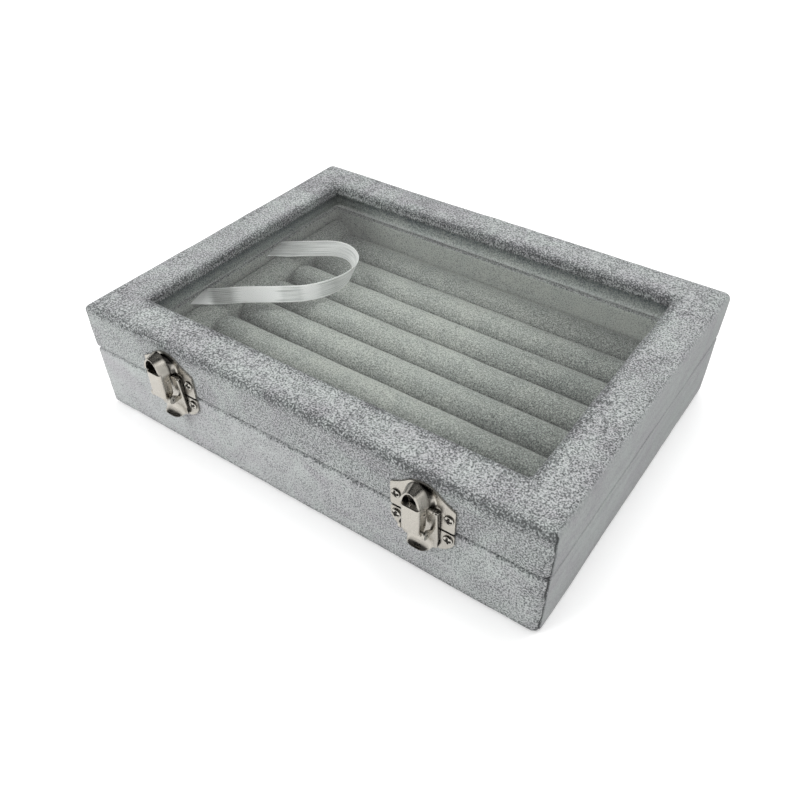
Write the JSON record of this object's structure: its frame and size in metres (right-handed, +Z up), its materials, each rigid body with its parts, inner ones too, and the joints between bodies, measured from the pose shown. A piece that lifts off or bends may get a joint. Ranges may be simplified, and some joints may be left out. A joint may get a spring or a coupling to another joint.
{
  "type": "ring display box",
  "caption": "Shallow velvet-covered ring case with a hinged glass-window lid, padded ring rolls, two front draw latches and a ribbon stay.",
  "frame": {"origin": "centre of the underside, on the surface that the box stands on", "axes": "+X to the right along the long side, +Y from the latched front to the hinged back, +Z up"},
  "size_m": [0.2, 0.1605, 0.0485],
  "materials": {
    "case_board": "raw fibreboard, covered",
    "grey_card": "raw card, covered",
    "bottom_cloth": "plain woven cloth",
    "outer_velvet": "light grey velvet, short pile",
    "inner_velvet": "grey velvet, short pile, in shade",
    "roll_velvet": "grey velvet, short pile",
    "satin_ribbon": "satin weave, pale silver",
    "clear_glass": "clear, polished",
    "bright_steel": "bright plated",
    "polished_nickel": "polished nickel plate"
  },
  "bodies": {
    "base": {"bottom_sheet": "bottom_cloth", "base_front_board": "case_board", "base_back_board": "case_board", "base_left_board": "case_board", "base_right_board": "case_board", "base_floor_board": "case_board", "base_velvet_cover": "outer_velvet", "base_velvet_lining": "inner_velvet", "insert_card": "grey_card", "ring_roll_1": "roll_velvet", "ring_roll_2": "roll_velvet", "ring_roll_3": "roll_velvet", "ring_roll_4": "roll_velvet", "ring_roll_5": "roll_velvet", "ring_roll_6": "roll_velvet", "ring_roll_7": "roll_velvet", "ring_roll_8": "roll_velvet", "left_bolster": "roll_velvet", "right_bolster": "roll_velvet", "ribbon_stay": "satin_ribbon", "hinge_base_leaf_left": "polished_nickel", "hinge_base_leaf_right": "polished_nickel", "hinge_pin_left": "bright_steel", "hinge_pin_right": "bright_steel", "hinge_screws_base": "bright_steel", "latch_plate_left": "polished_nickel", "latch_plate_right": "polished_nickel", "lever_pin_left": "bright_steel", "lever_pin_right": "bright_steel", "latch_screws_base": "bright_steel"},
    "lid": {"lid_front_board": "case_board", "lid_back_board": "case_board", "lid_left_board": "case_board", "lid_right_board": "case_board", "lid_top_frame": "case_board", "lid_velvet_cover": "outer_velvet", "lid_velvet_lining": "inner_velvet", "glass_pane": "clear_glass", "glass_bead_front": "inner_velvet", "glass_bead_back": "inner_velvet", "glass_bead_left": "inner_velvet", "glass_bead_right": "inner_velvet", "strike_plate_left": "polished_nickel", "strike_plate_right": "polished_nickel", "latch_screws_lid": "bright_steel", "hinge_lid_leaf_left": "polished_nickel", "hinge_lid_leaf_right": "polished_nickel", "hinge_screws_lid": "bright_steel"},
    "lever_left": {"latch_lever_left": "polished_nickel", "loop_pin_left": "bright_steel"},
    "loop_left": {"latch_loop_left": "polished_nickel"},
    "lever_right": {"latch_lever_right": "polished_nickel", "loop_pin_right": "bright_steel"},
    "loop_right": {"latch_loop_right": "polished_nickel"}
  },
  "joints": [
    {"name": "lid_hinge", "type": "hinge", "parent": "base", "child": "lid", "pos_m": [0, 0.0767, 0.029], "axis": [-1, 0, 0], "range_deg": [0, 105], "deforming": ["ribbon_stay"]},
    {"name": "lever_left_pivot", "type": "hinge", "parent": "base", "child": "lever_left", "pos_m": [-0.056, -0.077, 0.037], "axis": [-1, 0, 0], "range_deg": [0, 105]},
    {"name": "loop_left_pivot", "type": "hinge", "parent": "lever_left", "child": "loop_left", "pos_m": [-0.056, -0.0803, 0.0288], "axis": [-1, 0, 0], "range_deg": [-105, 0]},
    {"name": "lever_right_pivot", "type": "hinge", "parent": "base", "child": "lever_right", "pos_m": [0.056, -0.077, 0.037], "axis": [-1, 0, 0], "range_deg": [0, 105]},
    {"name": "loop_right_pivot", "type": "hinge", "parent": "lever_right", "child": "loop_right", "pos_m": [0.056, -0.0803, 0.0288], "axis": [-1, 0, 0], "range_deg": [-105, 0]}
  ],
  "couplings": [
    {"joint": "loop_left_pivot", "follows": "lever_left_pivot", "ratio": -1},
    {"joint": "loop_right_pivot", "follows": "lever_right_pivot", "ratio": -1}
  ]
}
